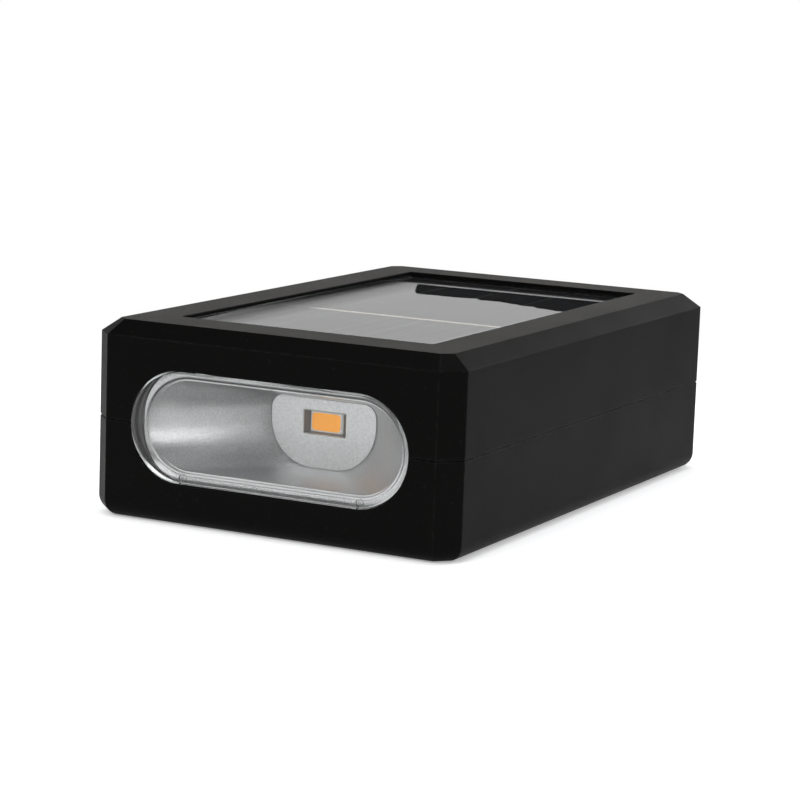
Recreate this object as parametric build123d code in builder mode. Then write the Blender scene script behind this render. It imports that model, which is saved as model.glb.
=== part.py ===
from build123d import *
from math import sqrt
import os

# Solar light for a fence or a wall, shining up and down it. It lies on its back here.
# Millimetres. +X runs across the light, +Y towards the end that hangs uppermost, +Z away from
# the wall, so the solar panel faces +Z. The origin is the middle of the flat back.

# Body: what it holds and the room left round that make it 70 wide, 109 long and 34 high
lens_side_gap = 4.7             # from the lens's flange to the side wall
lens_back_gap = 3.3             # from the lens's flange to the back wall
lens_front_gap = 1.1            # from the lens's flange to the ceiling under the solar panel
board_end_gap = 2.4             # along the body: lower light, gap, board, gap, battery, gap,
board_holder_gap = 5.8          # upper light
holder_end_gap = 3.2
corner_cut = 3.5                # leg of the 45 degree cut down each upright corner
bezel_slope_width = 3.2         # slope round the panel side, across and down
bezel_slope_height = 2.4
back_edge_radius = 3.0
parting_bevel = 0.2
shell_wall = 2.0
back_wall = 2.4
fit_gap = 0.1                   # between moulded pieces that seat in each other
touch_gap = 0.2                 # between a moulded piece and what only lies near it

# Solar panel in its recess
panel_recess = 1.0              # from the bezel down to the panel's face
window_side_margin = 10.6       # from the body's outside to the window
window_lower_margin = 11.8
window_upper_margin = 10.7
window_corner = 0.8
panel_edge_gap = 0.25
resin_thickness = 0.7
substrate_thickness = 0.8
tape_thickness = 0.5
tape_width = 3.0
shelf_thickness = 1.6
wire_hole_radius = 2.5
cell_count = 4
cell_gap = 0.4
cell_margin = 1.6
cell_thickness = 0.2
ribbon_width = 1.5
ribbon_thickness = 0.1
ribbon_shift = -10.0

# Lens, its gasket and the reflector behind it: racetracks, given by half their straight
# length and the radius of their ends. Depths count inwards from the body's end face.
opening_half_straight = 17.0
opening_radius = 9.65
lens_proud = 0.3
lens_edge_cut = 0.35
flange_lap = 1.65               # how far the flange reaches past the opening
lens_flange_thickness = 0.8
gasket_thickness = 0.5
mouth_inset = 1.55              # the reflector's mouth is a smaller racetrack than the opening
mouth_end_inset = 0.9
reflector_floor_depth = 21.0
reflector_floor_thickness = 3.0
reflector_flange_thickness = 1.2
reflector_wall = 1.2
floor_half_straight = 2.3
floor_top = 4.2                 # the floor's flat top edge, above the lens's middle
mark_radius = 0.7               # two moulding marks sunk in the back of the lens
mark_depth = 0.4
rim_rib_thickness = 1.5

# Light source
led_window_width = 8.2
led_window_height = 4.0
led_window_shift = 0.2          # from the middle of the reflector, across
led_window_lift = -0.1
led_width = 6.0
led_height = 3.5
led_shift = -0.65               # it sits off the middle of its window
led_lift = -0.3
led_thickness = 0.75
phosphor_margin = 0.2
phosphor_depth = 0.25
phosphor_corner = 0.7
led_board_width = 22.0
led_board_height = 14.0
led_board_thickness = 1.0
led_board_corner = 1.0
led_screw_spacing = 15.0
led_screw_reach = 1.8           # into the reflector
led_screw_hole_depth = 2.1

# Shell screws, driven from the back
screw_side_margin = 6.0         # from the side wall's inside to the screw's middle
screw_end_margin = 15.0         # from the body's end to the screw's middle
screw_boss_radius = 3.8
screw_well_radius = 2.9
screw_seat_height = 8.0
screw_head_radius = 2.5
screw_head_height = 1.8
screw_radius = 1.3
screw_length = 16.0
screw_hole_spare = 1.0
screw_head_cut = 0.7
screw_recess_width = 0.7
screw_recess_length = 3.3
screw_recess_depth = 1.1
web_thickness = 1.2
seal_groove_width = 0.8
seal_groove_depth = 0.8

# Keyholes in the back for two screws in the fence
keyhole_spacing = 36.0
keyhole_shift = -4.0            # middle of the two entries, along Y
keyhole_entry_radius = 4.25
keyhole_slot_radius = 2.2
keyhole_slot_length = 8.0       # from the entry's middle to the slot's closed end's middle
keyhole_pocket_height = 4.6
keyhole_pocket_margin = 0.6
keyhole_pocket_wall = 1.4

# Battery and its holder, across the body
battery_radius = 7.1
battery_length = 49.2
battery_cap_radius = 2.7
battery_cap_height = 1.3
battery_edge_cut = 0.6
holder_wall = 1.3
holder_floor = 1.2
holder_end_wall = 1.6
holder_side_height = 8.9        # how much of the battery the side walls cover
holder_corner = 1.0
holder_rest_spacing = 38.4
finger_gap_length = 16.0
finger_gap_drop = 2.8           # down from the battery's middle
contact_spring_length = 3.6
contact_spring_radius = 3.8
contact_spring_wire = 0.35
contact_spring_turns = 2
contact_plate_size = 9.0
contact_plate_thickness = 0.4
contact_plate_corner = 1.0
spring_wire_sides = 6

# Control board
board_length = 28.0
board_thickness = 1.6
board_corner = 1.5
board_screw_inset = 3.0
board_screw_radius = 1.0
board_screw_head_radius = 1.9
board_screw_head_height = 1.3
board_screw_length = 5.5
board_post_radius = 2.6
parts_shift = 3.0               # the row of parts, from the board's middle towards the upper end
chip_x = -6.0
coil_x = 4.0
capacitor_x = 14.0
chip_width = 5.0
chip_length = 4.0
chip_height = 1.5
coil_radius = 3.0
coil_height = 3.2
capacitor_radius = 2.5
capacitor_height = 5.4
socket_width = 6.0
socket_length = 4.6
socket_height = 5.0
socket_count = 4
socket_pitch = 12.0
socket_wall = 0.7
socket_side_gap = 2.1           # from the row of sockets to the heads of the board's screws

# Push button on the back, its switch, seal and return spring
button_x = 16.0
button_y = -10.0
button_travel = 1.2
button_radius = 4.4
button_face_height = 0.6        # how far the button's face is sunk below the back
button_edge_cut = 0.5
button_flange_radius = 5.3
button_flange_thickness = 1.0
button_stem_radius = 1.9
button_stem_length = 1.3
button_gap = 0.2
finger_recess_radius = 7.5
finger_recess_depth = 0.8
button_seal_thickness = 0.4
guide_wall = 1.2
guide_height = 3.4
switch_size = 8.0
switch_corner = 0.5
switch_body_height = 4.8
switch_gap = 0.8                # left between the pressed button's stem and the switch
plunger_radius = 1.5
plunger_inside = 1.4            # how far the plunger reaches into the switch at rest
button_spring_radius = 3.1
button_spring_wire = 0.25
button_spring_turns = 2

# Worked out from the sizes above
flange_radius = opening_radius + flange_lap
flange_reach = opening_half_straight + flange_radius
lens_flange_depth = shell_wall + gasket_thickness
mouth_depth = lens_flange_depth + lens_flange_thickness
mouth_radius = opening_radius - mouth_inset
mouth_half_straight = opening_half_straight - mouth_end_inset
reflector_body_depth = mouth_depth + reflector_flange_thickness
rim_rib_depth = reflector_body_depth + fit_gap
mark_drop = (mouth_radius + opening_radius) / 2
led_board_depth = reflector_floor_depth + reflector_floor_thickness
light_depth = led_board_depth + led_board_thickness + board_screw_head_height

parting_height = back_wall + lens_back_gap + flange_radius
ceiling_height = parting_height + flange_radius + lens_front_gap
shelf_height = ceiling_height + shelf_thickness
tape_top = shelf_height + tape_thickness
substrate_top = tape_top + substrate_thickness
panel_face_height = substrate_top + resin_thickness
body_height = panel_face_height + panel_recess
body_width = 2 * (flange_reach + lens_side_gap + shell_wall)

pocket_top = back_wall + keyhole_pocket_height
rest_height = pocket_top + keyhole_pocket_wall
holder_middle = rest_height + holder_floor + battery_radius + fit_gap
holder_half_width = battery_radius + fit_gap + holder_wall
holder_inside = (battery_length + battery_cap_height + contact_spring_length
                 + 2 * contact_plate_thickness)
cell_back = contact_spring_length + contact_plate_thickness - holder_inside / 2

bay_length = board_end_gap + board_length + board_holder_gap + 2 * holder_half_width + holder_end_gap
body_length = 2 * light_depth + bay_length
half_length = body_length / 2
board_shift = (board_length - bay_length) / 2 + board_end_gap
battery_shift = bay_length / 2 - holder_end_gap - holder_half_width

window_width = body_width - 2 * window_side_margin
window_length = body_length - window_lower_margin - window_upper_margin
window_shift = (window_lower_margin - window_upper_margin) / 2
panel_width = window_width - 2 * panel_edge_gap
panel_length = window_length - 2 * panel_edge_gap
cell_area_width = panel_width - 2 * cell_margin
cell_pitch = (cell_area_width + cell_gap) / cell_count

seal_inset = (shell_wall - seal_groove_width) / 2
screw_x = body_width / 2 - shell_wall - screw_side_margin
screw_places = GridLocations(2 * screw_x, body_length - 2 * screw_end_margin, 2, 2)
web_places = GridLocations(2 * screw_x + screw_side_margin, body_length - 2 * screw_end_margin, 2, 2)
pocket_half_width = keyhole_entry_radius + keyhole_pocket_margin
pocket_length = (keyhole_slot_length + keyhole_slot_radius + keyhole_entry_radius
                 + 2 * keyhole_pocket_margin)
pocket_shift = keyhole_shift + (keyhole_slot_length + keyhole_slot_radius - keyhole_entry_radius) / 2

seal_top = back_wall + button_seal_thickness
button_flange_height = seal_top + fit_gap
button_stem_height = button_flange_height + button_flange_thickness
plunger_height = button_stem_height + button_stem_length
switch_height = plunger_height + button_travel + switch_gap
board_height = switch_height + switch_body_height
board_top = board_height + board_thickness
board_width = ((socket_count - 1) * socket_pitch + socket_width
               + 2 * (socket_side_gap + board_screw_head_radius + board_screw_inset))
board_screw_places = GridLocations(board_width - 2 * board_screw_inset,
                                   board_length - 2 * board_screw_inset, 2, 2)

# Each end has its own plane: z points out of the body, y points away from the wall.
ends = {
    "lower": Plane(origin=(0, -half_length, parting_height), x_dir=(1, 0, 0), z_dir=(0, -1, 0)),
    "upper": Plane(origin=(0, half_length, parting_height), x_dir=(-1, 0, 0), z_dir=(0, 1, 0)),
}


def level(height, x=0.0, y=0.0):
    """A plane parallel to the back, at a height above it."""
    return Plane(origin=(x, y, height))


def plan_outline(inset=0.0, mode=Mode.ADD):
    """The body seen from the front: a rectangle with its corners cut at 45 degrees."""
    x = body_width / 2 - inset
    y = body_length / 2 - inset
    cut = corner_cut - inset * (2 - sqrt(2))
    Polygon((x, cut - y), (x, y - cut), (x - cut, y), (cut - x, y),
            (-x, y - cut), (-x, cut - y), (cut - x, -y), (x - cut, -y), mode=mode)


def racetrack(half_straight, radius, mode=Mode.ADD):
    """Two half circles joined by straight lines."""
    SlotCenterToCenter(2 * half_straight, 2 * radius, mode=mode)


def screw_posts(bottom, top):
    """The four posts that the shell screws go through, each tied to the side wall by a web."""
    with BuildSketch(level(bottom)) as posts:
        with screw_places:
            Circle(screw_boss_radius)
        with web_places:
            Rectangle(screw_side_margin, web_thickness)
    extrude(posts.sketch, amount=top - bottom)


def rim_rib(end, bottom, top):
    """A rib across the body behind the reflector's flange, from one height to another."""
    with BuildSketch(end.offset(-rim_rib_depth)) as rib:
        with Locations((0, (bottom + top) / 2 - parting_height)):
            Rectangle(body_width - 2 * shell_wall, top - bottom)
        racetrack(mouth_half_straight, mouth_radius + reflector_wall + touch_gap, Mode.SUBTRACT)
    extrude(rib.sketch, amount=-rim_rib_thickness)


def leaning_band(end, radius, back_depth, bottom, top):
    """A racetrack that leans in from the reflector's mouth to its floor, between two heights."""
    from_above = Plane(origin=end.origin + end.y_dir * bottom, x_dir=end.x_dir, z_dir=end.y_dir)
    with BuildPart() as band:
        for side in (-1, 1):
            with BuildSketch(end.offset(-mouth_depth)) as mouth_end:
                with Locations((side * mouth_half_straight, 0)):
                    Circle(radius)
                with Locations((0, (bottom + top) / 2)):
                    Rectangle(2 * flange_reach, top - bottom, mode=Mode.INTERSECT)
            lean = (end.x_dir * side * (floor_half_straight - mouth_half_straight)
                    - end.z_dir * (back_depth - mouth_depth))
            extrude(mouth_end.sketch, amount=lean.length, dir=lean)
        with BuildSketch(from_above) as between:
            Polygon((-mouth_half_straight, mouth_depth), (mouth_half_straight, mouth_depth),
                    (floor_half_straight, back_depth), (-floor_half_straight, back_depth),
                    align=None)
        extrude(between.sketch, amount=top - bottom)
    return band.part


def trough(end, back_depth, wall=0.0):
    """The reflector's form from its mouth to a depth: round sides that lean in towards a small
    floor, and a top that slopes down to the floor's. A wall makes it that much larger."""
    radius = mouth_radius + wall
    top = floor_top + wall
    from_side = Plane(origin=end.origin, x_dir=-end.z_dir, z_dir=end.x_dir)
    with BuildPart() as form:
        add(leaning_band(end, radius, back_depth, top, radius))
        with BuildSketch(from_side) as above:
            Polygon((mouth_depth, radius), (mouth_depth, 2 * radius), (back_depth, 2 * radius),
                    (back_depth, top), align=None)
        extrude(above.sketch, amount=flange_reach, both=True, mode=Mode.SUBTRACT)
        add(leaning_band(end, radius, back_depth, -radius, top))
    return form.part


def save(piece, label):
    """Names a finished piece and writes it to its own file."""
    piece.part.label = label
    export_step(piece.part, f"parts/{label}.step")


os.makedirs("parts", exist_ok=True)

# Front cover: the panel side of the body, with the bezel, the shelf that carries the panel,
# half of both lens openings, four screw bosses and the ribs that trap the reflectors
with BuildPart() as front_cover:
    with BuildSketch(level(parting_height)):
        plan_outline()
    extrude(amount=body_height - parting_height)
    bezel = front_cover.faces().sort_by(Axis.Z)[-1]
    chamfer(bezel.edges(), length=bezel_slope_width, length2=bezel_slope_height, reference=bezel)
    chamfer(front_cover.faces().sort_by(Axis.Z)[0].edges(), length=parting_bevel)
    with BuildSketch(level(parting_height)):
        plan_outline(shell_wall)
    extrude(amount=ceiling_height - parting_height, mode=Mode.SUBTRACT)
    with BuildSketch(level(shelf_height, y=window_shift)):
        RectangleRounded(window_width, window_length, window_corner)
    extrude(amount=body_height - shelf_height, mode=Mode.SUBTRACT)
    screw_posts(parting_height, ceiling_height)
    for end in ends.values():
        rim_rib(end, parting_height, ceiling_height)
        with BuildSketch(end.offset(-shell_wall)):
            racetrack(opening_half_straight, opening_radius)
        extrude(amount=shell_wall, mode=Mode.SUBTRACT)
    with BuildSketch(level(parting_height)):
        with screw_places:
            Circle(screw_radius + fit_gap / 2)
    extrude(amount=screw_seat_height + screw_length + screw_hole_spare - parting_height,
            mode=Mode.SUBTRACT)
    with BuildSketch(level(ceiling_height, y=battery_shift / 2)):
        Circle(wire_hole_radius)
    extrude(amount=shelf_thickness, mode=Mode.SUBTRACT)
save(front_cover, "front_cover")

# Rear housing: the wall side, with the keyhole pockets, screw wells, board posts, the rests
# of the battery holder and the guide of the push button
with BuildPart() as rear_housing:
    with BuildSketch(level(0)):
        plan_outline()
    extrude(amount=parting_height)
    fillet(rear_housing.faces().sort_by(Axis.Z)[0].edges(), back_edge_radius)
    chamfer(rear_housing.faces().sort_by(Axis.Z)[-1].edges(), length=parting_bevel)
    with BuildSketch(level(back_wall)):
        plan_outline(shell_wall)
    extrude(amount=parting_height - back_wall, mode=Mode.SUBTRACT)
    screw_posts(back_wall, parting_height)
    with BuildSketch(level(back_wall, y=pocket_shift)):
        with GridLocations(1, keyhole_spacing, 1, 2):
            RectangleRounded(2 * (pocket_half_width + keyhole_pocket_wall),
                             pocket_length + 2 * keyhole_pocket_wall, keyhole_pocket_wall)
    extrude(amount=rest_height - back_wall)
    with BuildSketch(level(back_wall)):
        with GridLocations(holder_rest_spacing, 1, 2, 1):
            with Locations((0, battery_shift)):
                Rectangle(web_thickness, 2 * holder_half_width)
    extrude(amount=rest_height - back_wall)
    with BuildSketch(level(back_wall, y=board_shift)):
        with board_screw_places:
            Circle(board_post_radius)
    extrude(amount=board_height - back_wall)
    with BuildSketch(level(back_wall, button_x, button_y)):
        Circle(button_flange_radius + 2 * button_gap + guide_wall)
    extrude(amount=guide_height)
    for end in ends.values():
        rim_rib(end, back_wall, parting_height)
        with BuildSketch(end.offset(-shell_wall)):
            racetrack(opening_half_straight, opening_radius)
        extrude(amount=shell_wall, mode=Mode.SUBTRACT)
    with BuildSketch(level(parting_height)):
        plan_outline(seal_inset)
        plan_outline(seal_inset + seal_groove_width, mode=Mode.SUBTRACT)
        Rectangle(2 * (flange_reach + touch_gap), body_length, mode=Mode.SUBTRACT)
    extrude(amount=-seal_groove_depth, mode=Mode.SUBTRACT)
    with BuildSketch(level(0)):
        with screw_places:
            Circle(screw_well_radius)
    extrude(amount=screw_seat_height, mode=Mode.SUBTRACT)
    with BuildSketch(level(screw_seat_height)):
        with screw_places:
            Circle(screw_radius + touch_gap)
    extrude(amount=parting_height - screw_seat_height, mode=Mode.SUBTRACT)
    with BuildSketch(level(back_wall, y=pocket_shift)):
        with GridLocations(1, keyhole_spacing, 1, 2):
            Rectangle(2 * pocket_half_width, pocket_length)
    extrude(amount=keyhole_pocket_height, mode=Mode.SUBTRACT)
    with BuildSketch(level(0, y=keyhole_shift)):
        with GridLocations(1, keyhole_spacing, 1, 2):
            Circle(keyhole_entry_radius)
    extrude(amount=back_wall, mode=Mode.SUBTRACT)
    with BuildSketch(level(0, y=keyhole_shift + keyhole_slot_length / 2)):
        with GridLocations(1, keyhole_spacing, 1, 2):
            SlotCenterToCenter(keyhole_slot_length, 2 * keyhole_slot_radius, rotation=90)
    extrude(amount=back_wall, mode=Mode.SUBTRACT)
    with BuildSketch(level(board_height, y=board_shift)):
        with board_screw_places:
            Circle(board_screw_radius + fit_gap / 2)
    extrude(amount=-board_screw_length, mode=Mode.SUBTRACT)
    with BuildSketch(level(0, button_x, button_y)):
        Circle(finger_recess_radius)
    extrude(amount=finger_recess_depth, mode=Mode.SUBTRACT)
    with BuildSketch(level(0, button_x, button_y)):
        Circle(button_radius + button_gap)
    extrude(amount=back_wall, mode=Mode.SUBTRACT)
    with BuildSketch(level(back_wall, button_x, button_y)):
        Circle(button_flange_radius + 2 * button_gap)
    extrude(amount=guide_height, mode=Mode.SUBTRACT)
save(rear_housing, "rear_housing")

# Silicone strip in the groove between the shells, one along each side, between the lenses
with BuildPart() as housing_seal:
    with BuildSketch(level(parting_height - seal_groove_depth)):
        plan_outline(seal_inset + fit_gap)
        plan_outline(seal_inset + seal_groove_width - fit_gap, mode=Mode.SUBTRACT)
        Rectangle(2 * (flange_reach + 2 * touch_gap), body_length, mode=Mode.SUBTRACT)
    extrude(amount=seal_groove_depth)
save(housing_seal, "housing_seal")

# Four self-tapping screws that hold the shells together
with BuildPart() as cover_screws:
    with BuildSketch(level(screw_seat_height)):
        with screw_places:
            Circle(screw_radius)
    extrude(amount=screw_length)
    with BuildSketch(level(screw_seat_height)):
        with screw_places:
            Circle(screw_head_radius)
    extrude(amount=-screw_head_height)
    chamfer(cover_screws.faces().group_by(Axis.Z)[0].edges(), screw_head_cut)
    with BuildSketch(level(screw_seat_height - screw_head_height)):
        with screw_places:
            Rectangle(screw_recess_length, screw_recess_width)
            Rectangle(screw_recess_width, screw_recess_length)
    extrude(amount=screw_recess_depth, mode=Mode.SUBTRACT)
save(cover_screws, "cover_screws")

# Solar panel: a foam tape frame on the shelf, a board, strips of silicon with one ribbon
# across them, and clear resin poured over the top
with BuildPart() as panel_tape:
    with BuildSketch(level(shelf_height, y=window_shift)):
        Rectangle(panel_width, panel_length)
        Rectangle(panel_width - 2 * tape_width, panel_length - 2 * tape_width, mode=Mode.SUBTRACT)
    extrude(amount=tape_thickness)
save(panel_tape, "panel_tape")

with BuildPart() as panel_substrate:
    with BuildSketch(level(tape_top, y=window_shift)):
        Rectangle(panel_width, panel_length)
    extrude(amount=substrate_thickness)
save(panel_substrate, "panel_substrate")

with BuildPart() as solar_cells:
    with BuildSketch(level(substrate_top, y=window_shift)):
        with GridLocations(cell_pitch, 1, cell_count, 1):
            Rectangle(cell_pitch - cell_gap, panel_length - 2 * cell_margin)
    extrude(amount=cell_thickness)
save(solar_cells, "solar_cells")

with BuildPart() as cell_ribbon:
    with BuildSketch(level(substrate_top + cell_thickness, y=ribbon_shift)):
        Rectangle(cell_area_width, ribbon_width)
    extrude(amount=ribbon_thickness)
save(cell_ribbon, "cell_ribbon")

with BuildPart() as panel_resin:
    with BuildSketch(level(substrate_top, y=window_shift)):
        Rectangle(panel_width, panel_length)
    extrude(amount=resin_thickness)
    add(solar_cells.part, mode=Mode.SUBTRACT)
    add(cell_ribbon.part, mode=Mode.SUBTRACT)
save(panel_resin, "panel_resin")

# One light module at each end
for end_name, end in ends.items():
    # Silicone ring between the shells' end wall and the lens's flange
    with BuildPart() as lens_gasket:
        with BuildSketch(end.offset(-shell_wall)):
            racetrack(opening_half_straight, flange_radius)
            racetrack(opening_half_straight, opening_radius, mode=Mode.SUBTRACT)
        extrude(amount=-gasket_thickness)
    save(lens_gasket, f"{end_name}_lens_gasket")

    # Clear stepped plate: it fills the opening, and its wider flange is held behind the wall
    with BuildPart() as lens:
        with BuildSketch(end.offset(lens_proud)):
            racetrack(opening_half_straight, opening_radius - fit_gap)
        extrude(amount=-(lens_proud + lens_flange_depth))
        chamfer(lens.faces().sort_by(Axis(end.origin, end.z_dir))[-1].edges(), lens_edge_cut)
        with BuildSketch(end.offset(-lens_flange_depth)):
            racetrack(opening_half_straight, flange_radius - fit_gap)
        extrude(amount=-lens_flange_thickness)
        with BuildSketch(end.offset(-mouth_depth)):
            with Locations((0, -mark_drop)):
                with GridLocations(2 * opening_half_straight, 1, 2, 1):
                    Circle(mark_radius)
        extrude(amount=mark_depth, mode=Mode.SUBTRACT)
    save(lens, f"{end_name}_lens")

    # Metallised trough that narrows from its wide mouth to a small floor behind it
    outside = trough(end, led_board_depth, reflector_wall)
    inside = trough(end, reflector_floor_depth)
    with BuildPart() as reflector:
        add(outside)
        with BuildSketch(end.offset(-mouth_depth)):
            racetrack(opening_half_straight, flange_radius - fit_gap)
        extrude(amount=-reflector_flange_thickness)
        add(inside, mode=Mode.SUBTRACT)
        with BuildSketch(end.offset(-reflector_floor_depth)):
            with Locations((led_window_shift, led_window_lift)):
                Rectangle(led_window_width, led_window_height)
        extrude(amount=-reflector_floor_thickness, mode=Mode.SUBTRACT)
        with BuildSketch(end.offset(-led_board_depth)):
            with GridLocations(led_screw_spacing, 1, 2, 1):
                Circle(board_screw_radius + fit_gap / 2)
        extrude(amount=led_screw_hole_depth, mode=Mode.SUBTRACT)
    save(reflector, f"{end_name}_reflector")

    # Board that carries the light source, screwed to the back of the reflector
    with BuildPart() as led_board:
        with BuildSketch(end.offset(-led_board_depth)):
            RectangleRounded(led_board_width, led_board_height, led_board_corner)
            with GridLocations(led_screw_spacing, 1, 2, 1):
                Circle(board_screw_radius + fit_gap, mode=Mode.SUBTRACT)
        extrude(amount=-led_board_thickness)
    save(led_board, f"{end_name}_led_board")

    # Light source: a white body with its phosphor in a shallow well
    with BuildPart() as led_phosphor:
        with BuildSketch(end.offset(led_thickness - led_board_depth)):
            with Locations((led_shift, led_lift)):
                RectangleRounded(led_width - 2 * phosphor_margin, led_height - 2 * phosphor_margin,
                                 phosphor_corner)
        extrude(amount=-phosphor_depth)
    save(led_phosphor, f"{end_name}_led_phosphor")

    with BuildPart() as led_body:
        with BuildSketch(end.offset(-led_board_depth)):
            with Locations((led_shift, led_lift)):
                Rectangle(led_width, led_height)
        extrude(amount=led_thickness)
        add(led_phosphor.part, mode=Mode.SUBTRACT)
    save(led_body, f"{end_name}_led_body")

    with BuildPart() as led_board_screws:
        with BuildSketch(end.offset(-led_board_depth - led_board_thickness)):
            with GridLocations(led_screw_spacing, 1, 2, 1):
                Circle(board_screw_radius)
        extrude(amount=led_board_thickness + led_screw_reach)
        with BuildSketch(end.offset(-led_board_depth - led_board_thickness)):
            with GridLocations(led_screw_spacing, 1, 2, 1):
                Circle(board_screw_head_radius)
        extrude(amount=-board_screw_head_height)
    save(led_board_screws, f"{end_name}_led_board_screws")

# Battery holder: a tray along X whose walls hold the cell from below and the sides
with BuildPart() as battery_holder:
    with BuildSketch(level(rest_height, y=battery_shift)):
        Rectangle(holder_inside + 2 * holder_end_wall, 2 * holder_half_width)
    extrude(amount=holder_floor + holder_side_height)
    fillet(battery_holder.edges().filter_by(Axis.Z), holder_corner)
    with BuildSketch(Plane(origin=(0, battery_shift, holder_middle), x_dir=(0, 1, 0), z_dir=(1, 0, 0))):
        Circle(battery_radius + fit_gap)
        with Locations((0, battery_radius)):
            Rectangle(2 * (battery_radius + fit_gap), 2 * battery_radius)
    extrude(amount=holder_inside / 2, both=True, mode=Mode.SUBTRACT)
    with BuildSketch(level(holder_middle - finger_gap_drop, y=battery_shift)):
        Rectangle(finger_gap_length, 2 * holder_half_width)
    extrude(amount=battery_radius, mode=Mode.SUBTRACT)
save(battery_holder, "battery_holder")

# One rechargeable cell, its cap towards +X
with BuildPart() as battery_cell:
    with BuildSketch(Plane(origin=(cell_back, battery_shift, holder_middle), z_dir=(1, 0, 0))):
        Circle(battery_radius)
    extrude(amount=battery_length)
    chamfer(battery_cell.edges().filter_by(GeomType.CIRCLE), battery_edge_cut)
    with BuildSketch(Plane(origin=(cell_back + battery_length, battery_shift, holder_middle),
                           z_dir=(1, 0, 0))):
        Circle(battery_cap_radius)
    extrude(amount=battery_cap_height)
save(battery_cell, "battery_cell")

# Contacts: a flat one against the cap, and a coil spring on a plate against the other end
with BuildPart() as battery_plate:
    with BuildSketch(Plane(origin=(holder_inside / 2, battery_shift, holder_middle),
                           z_dir=(1, 0, 0))):
        RectangleRounded(contact_plate_size, contact_plate_size, contact_plate_corner)
    extrude(amount=-contact_plate_thickness)
save(battery_plate, "battery_plate")

with BuildPart() as spring_plate:
    with BuildSketch(Plane(origin=(-holder_inside / 2, battery_shift, holder_middle),
                           z_dir=(1, 0, 0))):
        RectangleRounded(contact_plate_size, contact_plate_size, contact_plate_corner)
    extrude(amount=contact_plate_thickness)
save(spring_plate, "spring_plate")


def coil_spring(base, length, radius, wire, turns):
    """A spring that stands on a plane: its coils rise evenly from end to end."""
    rise = length - 2 * wire
    path = Helix(rise / turns, rise, radius, base.offset(wire).origin, base.z_dir, mode=Mode.PRIVATE)
    with BuildSketch(Plane(origin=path @ 0, z_dir=path % 0)) as wire_end:
        RegularPolygon(wire, spring_wire_sides)
    sweep(wire_end.sketch, path=path, is_frenet=True)


with BuildPart() as battery_spring:
    coil_spring(Plane(origin=(contact_plate_thickness - holder_inside / 2, battery_shift,
                              holder_middle), z_dir=(1, 0, 0)),
                contact_spring_length, contact_spring_radius, contact_spring_wire,
                contact_spring_turns)
save(battery_spring, "battery_spring")

# Control board on its four posts, with what is soldered to its upper face
with BuildPart() as control_board:
    with BuildSketch(level(board_height, y=board_shift)):
        RectangleRounded(board_width, board_length, board_corner)
        with board_screw_places:
            Circle(board_screw_radius + fit_gap, mode=Mode.SUBTRACT)
    extrude(amount=board_thickness)
save(control_board, "control_board")

with BuildPart() as board_parts:
    with BuildSketch(level(board_top, chip_x, board_shift + parts_shift)):
        Rectangle(chip_width, chip_length)
    extrude(amount=chip_height)
    with BuildSketch(level(board_top, coil_x, board_shift + parts_shift)):
        Circle(coil_radius)
    extrude(amount=coil_height)
    with BuildSketch(level(board_top, capacitor_x, board_shift + parts_shift)):
        Circle(capacitor_radius)
    extrude(amount=capacitor_height)
save(board_parts, "board_parts")

# Sockets for the leads of the panel, the battery and the two light sources
with BuildPart() as wire_sockets:
    with BuildSketch(level(board_top, y=board_shift - board_length / 2 + socket_length)):
        with GridLocations(socket_pitch, 1, socket_count, 1):
            Rectangle(socket_width, socket_length)
    extrude(amount=socket_height)
    with BuildSketch(level(board_top + socket_wall,
                           y=board_shift - board_length / 2 + socket_length)):
        with GridLocations(socket_pitch, 1, socket_count, 1):
            Rectangle(socket_width - 2 * socket_wall, socket_length - 2 * socket_wall)
    extrude(amount=socket_height, mode=Mode.SUBTRACT)
save(wire_sockets, "wire_sockets")

with BuildPart() as board_screws:
    with BuildSketch(level(board_top, y=board_shift)):
        with board_screw_places:
            Circle(board_screw_radius)
    extrude(amount=-board_screw_length)
    with BuildSketch(level(board_top, y=board_shift)):
        with board_screw_places:
            Circle(board_screw_head_radius)
    extrude(amount=board_screw_head_height)
save(board_screws, "board_screws")

# Switch under the board, with the plunger that the button pushes
with BuildPart() as power_switch:
    with BuildSketch(level(switch_height, button_x, button_y)):
        RectangleRounded(switch_size, switch_size, switch_corner)
    extrude(amount=switch_body_height)
    with BuildSketch(level(switch_height, button_x, button_y)):
        Circle(plunger_radius + button_gap)
    extrude(amount=plunger_inside + button_travel + button_gap, mode=Mode.SUBTRACT)
save(power_switch, "power_switch")

with BuildPart() as switch_plunger:
    with BuildSketch(level(plunger_height, button_x, button_y)):
        Circle(plunger_radius)
    extrude(amount=switch_height + plunger_inside - plunger_height)
save(switch_plunger, "switch_plunger")

# Button, sunk below the back so that the light can lie flat on it
with BuildPart() as power_button:
    with BuildSketch(level(button_face_height, button_x, button_y)):
        Circle(button_radius)
    extrude(amount=button_flange_height - button_face_height)
    chamfer(power_button.edges().sort_by(Axis.Z)[0], button_edge_cut)
    with BuildSketch(level(button_flange_height, button_x, button_y)):
        Circle(button_flange_radius)
    extrude(amount=button_flange_thickness)
    with BuildSketch(level(button_stem_height, button_x, button_y)):
        Circle(button_stem_radius)
    extrude(amount=button_stem_length)
save(power_button, "power_button")

with BuildPart() as button_seal:
    with BuildSketch(level(back_wall, button_x, button_y)):
        Circle(button_flange_radius + 2 * button_gap - fit_gap)
        Circle(button_radius + button_gap, mode=Mode.SUBTRACT)
    extrude(amount=button_seal_thickness)
save(button_seal, "button_seal")

with BuildPart() as button_spring:
    coil_spring(level(button_stem_height, button_x, button_y),
                switch_height - button_stem_height, button_spring_radius, button_spring_wire,
                button_spring_turns)
save(button_spring, "button_spring")
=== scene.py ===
from math import cos, radians, sin

import bmesh
import bpy
from mathutils import Matrix, Vector


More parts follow.
